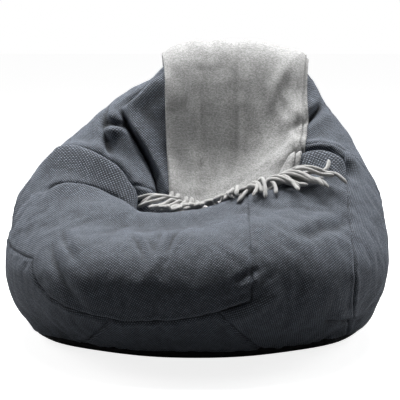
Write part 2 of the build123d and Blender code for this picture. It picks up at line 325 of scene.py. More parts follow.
softbox("top_light", (0.0, 0.55, 2.5), (0, 0.0, 0.3), (2.2, 1.1), 152)
softbox("front_top", (0.0, -1.0, 3.0), (0, 0.1, 0.4), (1.8, 1.2), 5)
softbox("left_light", (-2.3, 0.5, 1.3), (0, 0.1, 0.35), (1.0, 1.6), 26)
softbox("right_light", (2.3, 0.5, 1.3), (0, 0.1, 0.35), (1.0, 1.6), 25)

world = bpy.data.worlds.new("studio")
SCENE.world = world
world.use_nodes = True
tree = world.node_tree
tree.nodes.clear()
output = tree.nodes.new("ShaderNodeOutputWorld")
seen = tree.nodes.new("ShaderNodeBackground")
seen.inputs[0].default_value = (1, 1, 1, 1)
ambient = tree.nodes.new("ShaderNodeBackground")
ambient.inputs[0].default_value = (1, 1, 1, 1)
ambient.inputs[1].default_value = 0.025
path = tree.nodes.new("ShaderNodeLightPath")
choose = tree.nodes.new("ShaderNodeMixShader")
tree.links.new(path.outputs["Is Camera Ray"], choose.inputs[0])
tree.links.new(ambient.outputs[0], choose.inputs[1])
tree.links.new(seen.outputs[0], choose.inputs[2])
tree.links.new(choose.outputs[0], output.inputs[0])
SCENE.view_settings.view_transform = "Standard"

floor = mesh_piece("floor", [(-9, -9, 0), (9, -9, 0), (9, 9, 0), (-9, 9, 0)], [(0, 1, 2, 3)])
floor_look = Nodes("floor_look")
tree = floor_look.tree
place = floor_look.add("ShaderNodeTexCoord").outputs["Object"]
distance = floor_look.add("ShaderNodeVectorMath", operation="LENGTH")
floor_look.join(place, distance.inputs[0])
glow = floor_look.add("ShaderNodeMapRange", interpolation_type="SMOOTHSTEP")
floor_look.join(distance.outputs["Value"], glow.inputs["Value"])
glow.inputs["From Min"].default_value = 0.45
glow.inputs["From Max"].default_value = 1.5
glow.inputs["To Min"].default_value = 0.84
glow.inputs["To Max"].default_value = 0.96
floor_look.shader.inputs["Base Color"].default_value = (0.62, 0.62, 0.62, 1)
floor_look.shader.inputs["Roughness"].default_value = 0.6
floor_look.shader.inputs["Emission Color"].default_value = (1, 1, 1, 1)
floor_look.join(glow.outputs[0], floor_look.shader.inputs["Emission Strength"])
dim = floor_look.add("ShaderNodeBsdfDiffuse")
dim.inputs[0].default_value = (0.26, 0.26, 0.26, 1)
seen_by = floor_look.add("ShaderNodeLightPath")
pick = floor_look.add("ShaderNodeMixShader")
floor_look.join(seen_by.outputs["Is Camera Ray"], pick.inputs[0])
floor_look.join(dim.outputs[0], pick.inputs[1])
floor_look.join(floor_look.shader.outputs[0], pick.inputs[2])
floor_look.join(pick.outputs[0], tree.nodes["Material Output"].inputs[0])
floor.data.materials.append(floor_look.material)

# ---------------------------------------------------------------- bag body

COVER_GAP = 0.0063
VOXEL = 0.0075

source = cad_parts["bean_filling"]
work = link(bpy.data.objects.new("bag_work", source.data.copy()))
work.modifiers.new("voxels", "REMESH").mode = "VOXEL"
work.modifiers["voxels"].voxel_size = VOXEL
bake_modifiers(work)
pairs = edge_pairs(work.data)
rest = smoothed(coords(work.data), pairs, 8)
set_coords(work.data, rest)
facing = smoothed(normals(work.data), pairs, 10)
facing /= np.linalg.norm(facing, axis=1)[:, None]
rest = rest + facing * COVER_GAP
rest[:, 2] = np.maximum(rest[:, 2] - 0.0003, 0.0)

ZIP_LEAN = math.radians(9.0)
ZIP_FOOT = np.array((-0.170, 0.400, 0.140))
ZIP_UP = np.array((0, -math.sin(ZIP_LEAN), math.cos(ZIP_LEAN)))
ZIP_OUT = np.array((0, math.cos(ZIP_LEAN), math.sin(ZIP_LEAN)))


def zip_frame(p):
    d = p - ZIP_FOOT
    return d[:, 0], d @ ZIP_UP, d @ ZIP_OUT


def freedom(p):
    """0 where the cloth must stay put, at the zip and on the floor, and 1 elsewhere."""
    across, along, out = zip_frame(p)
    beyond = np.maximum(np.abs(across) - 0.02, 0) ** 2 + np.maximum(np.abs(along - 0.131) - 0.14, 0) ** 2
    near_zip = np.where(out > -0.06, ease(np.sqrt(beyond) / 0.06), 1.0)
    return near_zip * ease((p[:, 2] - 0.004) / 0.03)


def stroke_points(points, step=0.005):
    p = np.array(points, dtype=float)
    run = np.r_[0, np.cumsum(np.linalg.norm(np.diff(p, axis=0), axis=1))]
    s = np.linspace(0, run[-1], max(int(run[-1] / step), 6))
    line = np.stack([np.interp(s, run, p[:, k]) for k in range(3)], axis=1)
    for _ in range(12):
        line[1:-1] = (line[:-2] + 2 * line[1:-1] + line[2:]) / 4
    tangent = np.gradient(line, axis=0)
    return line, tangent / np.linalg.norm(tangent, axis=1)[:, None], s / run[-1]


def fold(p, n, points, depth, width, roll=0.0, offset=0.03, spread=0.02, lean=0.0, other=0.0, taper=0.3, reach=0.06):
    """Moves cloth into a crease along a line, with a roll of slack on one side that can lean over it."""
    line, tangent, along = stroke_points(points)
    tree = KDTree(len(line))
    for i, q in enumerate(line):
        tree.insert(q, i)
    tree.balance()
    low, high = line.min(axis=0) - 0.16, line.max(axis=0) + 0.16
    near = np.where(((p > low) & (p < high)).all(axis=1))[0]
    hit = np.array([tree.find(p[i])[1] for i in near], dtype=int)
    d = p[near] - line[hit]
    t = tangent[hit]
    side = np.cross(n[near], t)
    side /= np.maximum(np.linalg.norm(side, axis=1), 1e-6)[:, None]
    s = (d * side).sum(axis=1)
    past = np.abs((d * t).sum(axis=1))
    off = np.abs((d * n[near]).sum(axis=1))
    a = along[hit]
    fade = ease(a / taper + 0.15) * ease((1 - a) / taper + 0.15) * np.exp(-((past / 0.02) ** 2)) * np.exp(-((off / reach) ** 4))
    bump = np.exp(-(((s - offset) / spread) ** 2))
    back = np.exp(-(((s + offset) / spread) ** 2))
    push = -depth * np.exp(-((s / width) ** 2)) + roll * bump + other * back
    move = n[near] * (push * fade)[:, None] - side * (lean * bump * fade)[:, None]
    out = p.copy()
    out[near] += move
    return out


def unit_normals(p):
    set_coords(work.data, p)
    n = smoothed(normals(work.data), pairs, 3)
    return n / np.linalg.norm(n, axis=1)[:, None]


# The cloth's large folds, each a line on the bag in metres
FOLDS = [
    # wide dark fold behind the left lobe, with the rolled cloth in front of it
    dict(points=[(-0.43, 0.02, 0.43), (-0.34, 0.03, 0.48), (-0.27, 0.01, 0.46), (-0.21, 0.0, 0.43), (-0.16, -0.04, 0.37), (-0.12, -0.09, 0.33)],
         depth=0.046, width=0.019, roll=0.024, offset=-0.040, spread=0.022, lean=-0.024, other=0.006, taper=0.25),
    # top edge of the left lobe
    dict(points=[(-0.40, -0.08, 0.40), (-0.33, -0.09, 0.41), (-0.26, -0.08, 0.39), (-0.21, -0.09, 0.37), (-0.14, -0.12, 0.33)],
         depth=0.024, width=0.011, roll=0.016, offset=-0.03, spread=0.022, lean=-0.012, taper=0.3),
    # long fold down the left of the backrest
    dict(points=[(-0.21, 0.13, 0.58), (-0.17, 0.09, 0.52), (-0.15, 0.08, 0.49), (-0.12, 0.06, 0.44), (-0.10, 0.03, 0.40), (-0.09, -0.02, 0.35)],
         depth=0.030, width=0.013, roll=0.017, offset=0.030, spread=0.018, lean=0.014, other=0.004, taper=0.3),
    # fine fold beside it
    dict(points=[(-0.26, 0.16, 0.60), (-0.25, 0.10, 0.53), (-0.24, 0.07, 0.49), (-0.23, 0.04, 0.46)],
         depth=0.014, width=0.009, roll=0.009, offset=0.024, spread=0.016, other=0.006, taper=0.35),
    # pinch below the shoulder
    dict(points=[(-0.25, 0.11, 0.55), (-0.22, 0.105, 0.54), (-0.19, 0.10, 0.54)],
         depth=0.020, width=0.009, roll=0.012, offset=-0.024, spread=0.016, taper=0.35),
    # ridge and crease from the head to the left shoulder
    dict(points=[(-0.10, 0.17, 0.69), (-0.13, 0.16, 0.66), (-0.17, 0.14, 0.62), (-0.21, 0.13, 0.59)],
         depth=0.014, width=0.010, roll=0.014, offset=0.026, spread=0.018, lean=0.006, taper=0.35),
    # crease high on the right
    dict(points=[(0.25, 0.04, 0.52), (0.28, 0.06, 0.55), (0.31, 0.08, 0.58), (0.35, 0.11, 0.61)],
         depth=0.018, width=0.010, roll=0.013, offset=0.028, spread=0.020, lean=0.008, other=0.008, taper=0.35),
    # dark arch over the right arm
    dict(points=[(0.22, -0.05, 0.42), (0.25, -0.04, 0.44), (0.27, -0.03, 0.47), (0.32, -0.03, 0.48), (0.37, -0.05, 0.47), (0.41, -0.08, 0.43)],
         depth=0.040, width=0.017, roll=0.020, offset=-0.036, spread=0.022, lean=-0.020, other=0.010, taper=0.25),
    # soft diagonal wrinkles low on the left
    dict(points=[(-0.362, -0.281, 0.303), (-0.340, -0.350, 0.262), (-0.309, -0.398, 0.215), (-0.270, -0.420, 0.178)],
         depth=0.007, width=0.013, roll=0.004, offset=0.030, spread=0.020, other=0.003, taper=0.45),
    dict(points=[(-0.335, -0.247, 0.327), (-0.319, -0.317, 0.306), (-0.285, -0.389, 0.272)],
         depth=0.006, width=0.010, roll=0.006, offset=0.022, spread=0.015, taper=0.45),
    # soft wrinkles on the right arm and low right
    dict(points=[(0.20, -0.36, 0.33), (0.27, -0.33, 0.32), (0.34, -0.27, 0.33), (0.40, -0.19, 0.34)],
         depth=0.006, width=0.018, roll=0.005, offset=0.034, spread=0.022, taper=0.45),
    dict(points=[(0.30, -0.37, 0.12), (0.36, -0.31, 0.10), (0.41, -0.24, 0.07)],
         depth=0.012, width=0.012, roll=0.009, offset=0.026, spread=0.018, taper=0.4),
    # long diagonal folds rising to the right above the front band
    dict(points=[(0.042, -0.460, 0.165), (0.089, -0.463, 0.182), (0.125, -0.463, 0.201), (0.167, -0.456, 0.222), (0.200, -0.444, 0.243)],
         depth=0.008, width=0.009, roll=0.007, offset=-0.022, spread=0.015, taper=0.4),
    dict(points=[(0.066, -0.469, 0.198), (0.101, -0.467, 0.212), (0.139, -0.460, 0.232), (0.190, -0.444, 0.262)],
         depth=0.006, width=0.008, roll=0.005, offset=-0.020, spread=0.014, taper=0.45),
    dict(points=[(0.077, -0.467, 0.241), (0.106, -0.461, 0.251), (0.150, -0.444, 0.275)],
         depth=0.006, width=0.009, roll=0.005, offset=-0.020, spread=0.014, taper=0.45),
    # gathers under the lip beside the seam
    dict(points=[(-0.160, -0.30, 0.345), (-0.141, -0.372, 0.322), (-0.121, -0.428, 0.292)],
         depth=0.009, width=0.008, roll=0.006, offset=0.017, spread=0.010, taper=0.5),
    dict(points=[(-0.128, -0.31, 0.345), (-0.113, -0.368, 0.326), (-0.100, -0.423, 0.298)],
         depth=0.009, width=0.008, roll=0.006, offset=0.017, spread=0.010, taper=0.5),
    dict(points=[(-0.091, -0.30, 0.347), (-0.089, -0.362, 0.330), (-0.096, -0.415, 0.305)],
         depth=0.010, width=0.008, roll=0.006, offset=0.017, spread=0.010, taper=0.5),
    dict(points=[(-0.045, -0.30, 0.347), (-0.060, -0.387, 0.325), (-0.074, -0.427, 0.299)],
         depth=0.009, width=0.009, roll=0.006, offset=0.018, spread=0.011, taper=0.5),
    # sides and back, which sag in long shallow folds
    dict(points=[(0.46, -0.05, 0.30), (0.45, 0.06, 0.33), (0.41, 0.17, 0.38), (0.34, 0.26, 0.44)],
         depth=0.012, width=0.016, roll=0.009, offset=0.034, spread=0.024, taper=0.4),
    dict(points=[(-0.46, -0.02, 0.28), (-0.45, 0.10, 0.31), (-0.40, 0.20, 0.36), (-0.32, 0.28, 0.42)],
         depth=0.012, width=0.016, roll=0.009, offset=-0.034, spread=0.024, taper=0.4),
    dict(points=[(0.36, 0.27, 0.25), (0.25, 0.36, 0.30), (0.12, 0.39, 0.34)],
         depth=0.010, width=0.016, roll=0.008, offset=0.034, spread=0.024, taper=0.4),
    dict(points=[(-0.44, 0.14, 0.16), (-0.38, 0.26, 0.19), (-0.29, 0.34, 0.23)],
         depth=0.010, width=0.016, roll=0.008, offset=0.034, spread=0.024, taper=0.4),
]

shape = rest.copy()
for f in FOLDS:
    n = unit_normals(shape)
    f = dict(f, depth=f["depth"] * 1.45, roll=f.get("roll", 0) * 1.3, lean=f.get("lean", 0) * 1.5, other=f.get("other", 0) * 1.2)
    shape = fold(shape, n, **f)
    shape[:, 2] = np.maximum(shape[:, 2], 0.0)
loose = freedom(rest)[:, None]
shape = rest + (shape - rest) * loose
n = unit_normals(shape)
slack = noise_at(rest, 9.0, 3.1) * 0.0045 + noise_at(rest, 21.0, 8.7) * 0.0022
shape = shape + n * slack[:, None] * loose
shape = smoothed(shape, pairs, 1)
set_coords(work.data, shape)


def relax(ob, start, free):
    """Short cloth simulation: cloth a little too large for the filling buckles into small wrinkles."""
    group = ob.vertex_groups.new(name="held")
    for level in range(11):
        picked = np.where(np.round((1 - free[:, 0]) * 10) == level)[0]
        group.add([int(i) for i in picked], 0.12 + 0.088 * level, "REPLACE")
    cloth = ob.modifiers.new("cloth", "CLOTH")
    s = cloth.settings
    s.quality = 4
    s.mass = 0.25
    s.tension_stiffness = s.compression_stiffness = 14
    s.shear_stiffness = 4
    s.bending_stiffness = 0.25
    s.tension_damping = s.compression_damping = 6
    s.air_damping = 2.5
    s.use_pressure = True
    s.uniform_pressure_force = 2.2
    s.shrink_min = -0.035
    s.vertex_group_mass = "held"
    s.pin_stiffness = 0.6
    s.effector_weights.gravity = 0
    cloth.collision_settings.use_collision = False
    cloth.collision_settings.use_self_collision = False
    cloth.point_cache.frame_start, cloth.point_cache.frame_end = 1, 16
    for k in range(1, 17):
        SCENE.frame_set(k)
    me = evaluated(ob)
    moved = coords(me)
    bpy.data.meshes.remove(me)
    ob.modifiers.clear()
    SCENE.frame_set(1)
    move = (moved - start) * free
    size = np.linalg.norm(move, axis=1)[:, None]
    return start + move * (0.0065 * np.tanh(size / 0.012) / np.maximum(size, 1e-9))


shape = relax(work, shape, loose)
shape = smoothed(shape, pairs, 1, 0.4)
shape[:, 2] = np.maximum(shape[:, 2], 0.0)

# ---------------------------------------------------------------- seams and panels

bm = bmesh.new()
set_coords(work.data, rest)
bm.from_mesh(work.data)
final_layer = bm.verts.layers.float_vector.new("final")
bm.verts.ensure_lookup_table()
for v, p in zip(bm.verts, shape):
    v[final_layer] = p


def cut(origin, normal, where):
    faces = [f for f in bm.faces if where(f.calc_center_median())]
    geom = set(faces)
    for f in faces:
        geom.update(f.verts)
        geom.update(f.edges)
    bmesh.ops.bisect_plane(bm, geom=list(geom), dist=0.0012, plane_co=origin, plane_no=normal)


SMILE = (Vector((0, -0.470, 0.148)), Vector((-0.306, -1.339, 1.0)))


def below_smile(c):
    return (c - SMILE[0]).dot(SMILE[1]) < 0


cut((0, 0, 0.015), (0, 0, 1), lambda c: c.z < 0.04 and c.y > -0.02)
cut((0, 0, 0.015), (0, 0.09, 1), lambda c: c.z < 0.09 and c.y < 0.02)
cut((0, 0.0, 0), (0, 1, 0), lambda c: abs(c.y) < 0.02 and c.z > 0.015)
cut((0, 0.262, 0), (0, 1, 0), lambda c: abs(c.y - 0.262) < 0.02 and c.z > 0.015)
cut((-0.170, 0, 0), (1, 0, 0), lambda c: c.y > 0.262 and c.z > 0.015)
cut((0.383, 0, 0), (1, 0, 0), lambda c: c.y < 0 and c.z > 0.015)
cut((0, 0, 0.262), (0, 0, 1), lambda c: c.y < 0 and c.x < 0.383 and abs(c.z - 0.262) < 0.02)
cut(SMILE[0], SMILE[1], lambda c: c.y < 0 and 0.015 < c.z < 0.262 and c.x < 0.383)
cut((0.129, 0, 0), (1, 0, 0), lambda c: c.y < 0 and (c.z > 0.262 or not below_smile(c)))
cut((-0.320, 0, 0), (-1, 0, 0.8), lambda c: c.y < 0 and 0.015 < c.z < 0.262 and below_smile(c))
cut((0.200, 0, 0), (1, 0, 0.85), lambda c: c.y < 0 and 0.015 < c.z < 0.262 and below_smile(c) and c.x < 0.383)

PANELS = ["base_panel", "front_band", "front_left_panel", "front_right_panel", "left_side_panel",
          "right_side_panel", "backrest_panel", "back_left_panel", "back_right_panel"]


def panel_of(c):
    if c.z < 0.015 + max(0.0, -0.09 * c.y):
        return 0
    if c.y > 0.262:
        return 7 if c.x < -0.170 else 8
    if c.y > 0:
        return 6
    if c.x > 0.383:
        return 5
    if c.z < 0.262 and below_smile(c):
        if -(c.x + 0.320) + 0.8 * c.z > 0:
            return 4
        return 3 if c.x - 0.200 + 0.85 * c.z > 0 else 1
    return 2 if c.x < 0.129 else 3


panel_layer = bm.faces.layers.int.new("panel")
for f in bm.faces:
    f[panel_layer] = panel_of(f.calc_center_median())
for e in bm.edges:
    ids = {f[panel_layer] for f in e.link_faces}
    e.seam = len(ids) > 1
for v in bm.verts:
    v.co = v.co.lerp(v[final_layer], 0.6)
bm.to_mesh(work.data)
bm.free()

# Flat layout of each panel, in metres
bpy.context.view_layer.objects.active = work
work.select_set(True)
work.data.uv_layers.new(name="weave")
bpy.ops.object.mode_set(mode="EDIT")
bpy.ops.mesh.select_all(action="SELECT")
bpy.ops.uv.unwrap(method="ANGLE_BASED", margin=0.001)
bpy.ops.object.mode_set(mode="OBJECT")
work.select_set(False)


def straighten_uv(me):
    """Scales each panel's layout to metres and turns it so the warp runs up the bag."""
    loops = np.empty(len(me.loops), dtype=np.int32)
    me.loops.foreach_get("vertex_index", loops)
    uv = np.empty(len(me.loops) * 2)
    me.uv_layers["weave"].data.foreach_get("uv", uv)
    uv = uv.reshape(-1, 2)
    total = np.empty(len(me.polygons), dtype=np.int32)
    me.polygons.foreach_get("loop_total", total)
    ids = np.empty(len(me.polygons), dtype=np.int32)
    me.attributes["panel"].data.foreach_get("value", ids)
    loop_ids = np.repeat(ids, total)
    area = np.empty(len(me.polygons))
    me.polygons.foreach_get("area", area)
    face_of = np.repeat(np.arange(len(total)), total)
    start = np.r_[0, np.cumsum(total)[:-1]]
    nxt = np.arange(len(loops)) + 1
    nxt[start + total - 1] = start
    cross = uv[:, 0] * uv[nxt, 1] - uv[nxt, 0] * uv[:, 1]
    flat = np.abs(np.bincount(face_of, cross)) / 2
    co = coords(me)[loops]
    for k in range(len(PANELS)):
        m = loop_ids == k
        if not m.any():
            continue
        scale = math.sqrt(area[ids == k].sum() / max(flat[ids == k].sum(), 1e-12))
        a = uv[m] - uv[m].mean(axis=0)
        target = co[m] @ np.array((0, 1.0, 0.0)) if k == 0 else co[m] @ np.array((0, 0.35, 1.0))
        g = np.linalg.lstsq(a, target - target.mean(), rcond=None)[0]
        turn = math.pi / 2 - math.atan2(g[1], g[0])
        c, s = math.cos(turn), math.sin(turn)
        uv[m] = a @ np.array(((c, s), (-s, c))) * scale + k * 0.013
    me.uv_layers["weave"].data.foreach_set("uv", uv.ravel())


straighten_uv(work.data)
folded = np.empty(len(work.data.vertices) * 3)
work.data.attributes["final"].data.foreach_get("vector", folded)
set_coords(work.data, folded.reshape(-1, 3))

sub = work.modifiers.new("fine", "SUBSURF")
sub.levels = sub.render_levels = 1
bake_modifiers(work)
me = work.data
pairs = edge_pairs(me)
shape = coords(me)
ids = np.empty(len(me.polygons), dtype=np.int32)
me.attributes["panel"].data.foreach_get("value", ids)
print("bag faces", len(me.polygons), "panel faces", np.bincount(ids))

# Seam lines: the cloth dips into each seam and puckers beside it
edge_ids = {}
seam_verts = set()
for poly, k in zip(me.polygons, ids):
    for key in poly.edge_keys:
        if edge_ids.setdefault(key, k) != k:
            seam_verts.update(key)
seam = np.array(sorted(seam_verts), dtype=int)
tree = KDTree(len(seam))
for j, i in enumerate(seam):
    tree.insert(shape[i], j)
tree.balance()
reach = np.array([tree.find(p)[2] for p in shape])
n = smoothed(normals(me), pairs, 2)
n /= np.linalg.norm(n, axis=1)[:, None]
free = freedom(shape)
pucker = noise_at(shape, 46.0, 5.5)
dip = -0.0026 * np.exp(-((reach / 0.0036) ** 2)) + 0.0012 * np.exp(-(((reach - 0.011) / 0.006) ** 2))
dip *= 1.0 + 0.7 * ease((-0.25 - shape[:, 1]) / 0.1) * ease((0.27 - shape[:, 2]) / 0.03)
dip += 0.0028 * pucker * np.exp(-((reach / 0.024) ** 2)) * (1 - np.exp(-((reach / 0.006) ** 2)))
shape = shape + n * (dip * free)[:, None]
across, along, out = zip_frame(shape)
well = (1 - ease((np.abs(across) - 0.0150) / 0.0035)) * (1 - ease((np.abs(along - 0.131) - 0.1325) / 0.004))
sink = np.where(out > -0.05, np.maximum(out + 0.0034, 0) * well, 0)
shape = shape - ZIP_OUT * sink[:, None]
shape[:, 2] = np.maximum(shape[:, 2], 0.0)
set_coords(me, shape)
# How deep each point lies in a fold: painted shade makes the cloth darker there, and it is painted paler on the ridges
n = normals(me)
depth_in_fold = ((smoothed(shape, pairs, 70) - shape) * n).sum(axis=1)
hollow = me.attributes.new("hollow", "FLOAT", "POINT")
hollow.data.foreach_set("value", np.clip(depth_in_fold / 0.0045, -0.45, 1.0) * free)
BAG = BVHTree.FromPolygons([Vector(p) for p in shape], [tuple(p.vertices) for p in me.polygons])


def panel_piece(k, name):
    """One sewn panel, with its edge turned in along the seams."""
    bm = bmesh.new()
    bm.from_mesh(me)
    layer = bm.faces.layers.int["panel"]
    bmesh.ops.delete(bm, geom=[f for f in bm.faces if f[layer] != k], context="FACES")
    bm.normal_update()
    border = [e for e in bm.edges if e.is_boundary]
    made = bmesh.ops.extrude_edge_only(bm, edges=border)["geom"]
    centre = Vector((0, -0.01, 0.25))
    for v in made:
        if isinstance(v, bmesh.types.BMVert):
            v.co += (centre - v.co).normalized() * 0.006
            v.co.z = max(v.co.z, 0.0004)
    new = bpy.data.meshes.new(name)
    bm.to_mesh(new)
    bm.free()
    for a in ("panel", "final"):
        if a in new.attributes:
            new.attributes.remove(new.attributes[a])
    new.shade_smooth()
    ob = link(bpy.data.objects.new(name, new))
    ob.data.materials.append(BASE if k == 0 else COVER)
    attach(ob, "bag")
    return ob


panels = [panel_piece(k, "cloth_" + name) for k, name in enumerate(PANELS)]
for ob, name in zip(panels, PANELS):
    if name == "base_panel":
        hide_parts(name, "bean_filling", "inner_liner")
    else:
        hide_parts(name)
bpy.data.objects.remove(work)

# ---------------------------------------------------------------- throw

ROWS = 150
COLUMNS = 58
LAYER = 0.0041
PIVOT_Y, PIVOT_Z = 0.150, 0.200


def bag_radius(x, angle):
    """Distance from a line inside the bag to its surface, looking in from outside."""
    d = Vector((0, math.cos(angle), math.sin(angle)))
    c = Vector((x, PIVOT_Y, PIVOT_Z))
    hit = BAG.ray_cast(c + d * 1.2, -d)
    return (hit[0] - c).length if hit[0] is not None else 0.25


def blurred(a, times, axis):
    for _ in range(times):
        pad = [(0, 0)] * a.ndim
        pad[axis] = (1, 1)
        p = np.pad(a, pad, mode="edge")
        lo = [slice(None)] * a.ndim
        mid = [slice(None)] * a.ndim
        hi = [slice(None)] * a.ndim
        lo[axis], mid[axis], hi[axis] = slice(0, -2), slice(1, -1), slice(2, None)
        a = (p[tuple(lo)] + 2 * p[tuple(mid)] + p[tuple(hi)]) / 4
    return a


def drape():
    """Centre surface of the folded throw: a grid of points from the seat, over the head and down the back."""
    angles = np.linspace(math.radians(151), math.radians(-14), 200)
    w = np.linspace(0, 1, 2 * COLUMNS // 2 + 1)
    x = np.empty((len(angles), len(w)))
    r = np.empty_like(x)
    for i, a in enumerate(angles):
        q = i / (len(angles) - 1)
        narrow = ease((0.30 - q) / 0.30)
        left = -0.084 + 0.010 * narrow + 0.004 * math.sin(9 * q)
        right = 0.296 - 0.060 * narrow + 0.005 * math.sin(11 * q + 1)
        x[i] = left + (right - left) * w
        r[i] = [bag_radius(float(xx), float(a)) for xx in x[i]]
    soft = blurred(blurred(r, 14, 0), 10, 1)
    r2 = np.maximum(soft, r + 0.0012)
    r2 = np.maximum(blurred(blurred(r2, 3, 0), 3, 1), r + 0.0010)
    y = PIVOT_Y + r2 * np.cos(angles)[:, None]
    z = PIVOT_Z + r2 * np.sin(angles)[:, None]
    return np.stack([x, y, z], axis=2)


def resample_rows(grid, rows):
    out = np.empty((rows, grid.shape[1], 3))
    for c in range(grid.shape[1]):
        line = grid[:, c]
        run = np.r_[0, np.cumsum(np.linalg.norm(np.diff(line, axis=0), axis=1))]
        q = c / (grid.shape[1] - 1)
        y_end = -0.014 - 0.088 * ease(q * 1.15)
        first = np.interp(-y_end, -line[:60, 1][::-1], run[:60][::-1])
        back = line[:, 2] < 0.131
        back &= np.arange(len(line)) > 120
        last = run[np.argmax(back)] if back.any() else run[-1]
        s = np.linspace(first, last, rows)
        for k in range(3):
            out[:, c, k] = np.interp(s, run, line[:, k])
    return out


base = resample_rows(drape(), ROWS)
COLS = base.shape[1]
du = np.gradient(base, axis=1)
dv = np.gradient(base, axis=0)
up = np.cross(dv, du)
up /= np.linalg.norm(up, axis=2)[:, :, None]
if up[ROWS // 2, COLS // 2] @ np.array((0, 0.3, 1.0)) < 0:
    up = -up
up = blurred(blurred(up, 4, 0), 4, 1)
up /= np.linalg.norm(up, axis=2)[:, :, None]


def folds_across(w, s):
    """Soft lengthwise folds of the draped cloth, as a height over the bag."""
    h = 0.0075 * np.exp(-(((w - 0.19 - 0.05 * s) / 0.035) ** 2)) * (0.45 + 0.55 * np.sin(3.0 * s + 0.8) ** 2)
    h += 0.0065 * np.exp(-(((w - 0.43 + 0.08 * s) / 0.04) ** 2)) * (0.4 + 0.6 * np.cos(2.4 * s) ** 2)
    h += 0.0055 * np.exp(-(((w - 0.70 + 0.05 * s) / 0.05) ** 2)) * (0.3 + 0.7 * np.sin(4.1 * s + 2) ** 2)
    h += 0.0060 * np.exp(-(((w - 0.93) / 0.04) ** 2))
    front = np.exp(-(((s - 0.22) / 0.14) ** 2))
    h -= front * (0.0055 * np.exp(-(((w - 0.255) / 0.022) ** 2)) + 0.0065 * np.exp(-(((w - 0.505 - 0.06 * (s - 0.2)) / 0.022) ** 2)))
    h += front * 0.0040 * np.exp(-(((w - 0.550 - 0.06 * (s - 0.2)) / 0.022) ** 2))
    h += 0.0075 * np.exp(-(((w - 0.84 - 1.3 * (s - 0.34)) / 0.045) ** 2)) * np.exp(-(((s - 0.34) / 0.06) ** 2))
    h += 0.0060 * np.exp(-(((w - 0.88 + 1.4 * (s - 0.27)) / 0.040) ** 2)) * np.exp(-(((s - 0.27) / 0.05) ** 2))
    crown = np.exp(-(((s - 0.47) / 0.085) ** 2))
    h += crown * (0.012 + 0.005 * np.exp(-((w / 0.18) ** 2)) + 0.011 * np.exp(-(((1 - w) / 0.22) ** 2)))
    h += 0.0060 * np.exp(-(((w - 0.98 + 1.1 * (s - 0.10)) / 0.035) ** 2)) * np.exp(-(((s - 0.22) / 0.10) ** 2))
    h += 0.0045 * np.exp(-(((w - 0.80 + 0.9 * (s - 0.10)) / 0.04) ** 2)) * np.exp(-(((s - 0.20) / 0.10) ** 2))
    return h


THICK = 0.0026
verts, index = [], {}
uv_of = {}
TURN = 5
turn_angles = np.linspace(-math.pi / 2, math.pi / 2, TURN + 2)[1:-1]


def at(row, column_f, height, push=0.0):
    """Point over the draped base at a fractional column, raised along the normal and pushed sideways."""
    c0 = int(min(max(math.floor(column_f), 0), COLS - 2))
    f = column_f - c0
    p = base[row, c0] * (1 - f) + base[row, c0 + 1] * f
    m = up[row, c0] * (1 - f) + up[row, c0 + 1] * f
    side = base[row, c0 + 1] - base[row, c0]
    side = side / np.linalg.norm(side)
    return p + m * height + side * push


def build_throw():
    """Cloth folded lengthwise in three: bottom layer, turn, middle layer, turn, top layer."""
    profile = []
    trims = [(0.0, 1.0), (0.012, 1.0), (0.012, 0.985)]
    for layer in range(3):
        lo, hi = trims[layer]
        steps = np.linspace(lo, hi, COLUMNS)
        if layer == 1:
            steps = steps[::-1]
        for w in steps:
            profile.append((w, layer, 0.0, 0.0))
        if layer < 2:
            sign = 1.0 if layer == 0 else -1.0
            w_end = steps[-1]
            for a in turn_angles:
                profile.append((w_end, layer + 0.5, math.sin(a) * 0.5, sign * math.cos(a) * 0.0046))
    verts, uvs = [], []
    for row in range(ROWS):
        s = row / (ROWS - 1)
        flat = 0.0
        last = None
        fringe_end = 1.0 + 0.25 * math.exp(-((s / 0.05) ** 2)) + 0.3 * math.exp(-(((1 - s) / 0.06) ** 2))
        line = []
        for w, layer, lift, push in profile:
            loosen = fringe_end + 0.35 * math.exp(-(((w - 0.0) / 0.05) ** 2)) + 0.5 * math.exp(-(((w - 1.0) / 0.06) ** 2))
            h = 0.0016 + LAYER * (layer + lift) * loosen + folds_across(w, s)
            p = at(row, w * (COLS - 1), h, push)
            if last is not None:
                flat += float(np.linalg.norm(p - last))
            last = p
            verts.append(p)
            line.append(flat)
        uvs.append(line)
    width = len(profile)
    faces = []
    for row in range(ROWS - 1):
        for c in range(width - 1):
            i = row * width + c
            faces.append((i, i + 1, i + width + 1, i + width))
    return np.array(verts), faces, np.array(uvs), width


throw_verts, throw_faces, throw_u, WIDTH = build_throw()
g = throw_verts.reshape(ROWS, WIDTH, 3)
rumple = noise_at(throw_verts, 26.0, 1.7).reshape(ROWS, WIDTH) * 0.0014
layer_up = np.repeat(up[:, [COLS // 2]], WIDTH, axis=1)
g = g + layer_up * rumple[:, :, None]
throw = mesh_piece("throw_cloth", g.reshape(-1, 3), throw_faces)
length = np.r_[0, np.cumsum(np.linalg.norm(np.diff(g[:, WIDTH // 2], axis=0), axis=1))]
layer_uv = throw.data.uv_layers.new(name="weave")
vi = np.empty(len(throw.data.loops), dtype=np.int32)
throw.data.loops.foreach_get("vertex_index", vi)
uv = np.stack([throw_u.reshape(-1)[vi], length[vi // WIDTH]], axis=1)
layer_uv.data.foreach_set("uv", uv.ravel())
solid = throw.modifiers.new("cloth_thickness", "SOLIDIFY")
solid.thickness = THICK
solid.offset = 0
bake_modifiers(throw)
throw.data.materials.append(THROW)
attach(throw, "bag")
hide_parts("throw_blanket")
print("throw: width along cloth", throw_u[:, -1].min(), throw_u[:, -1].max(), "length", length[-1])

# ---------------------------------------------------------------- fringe


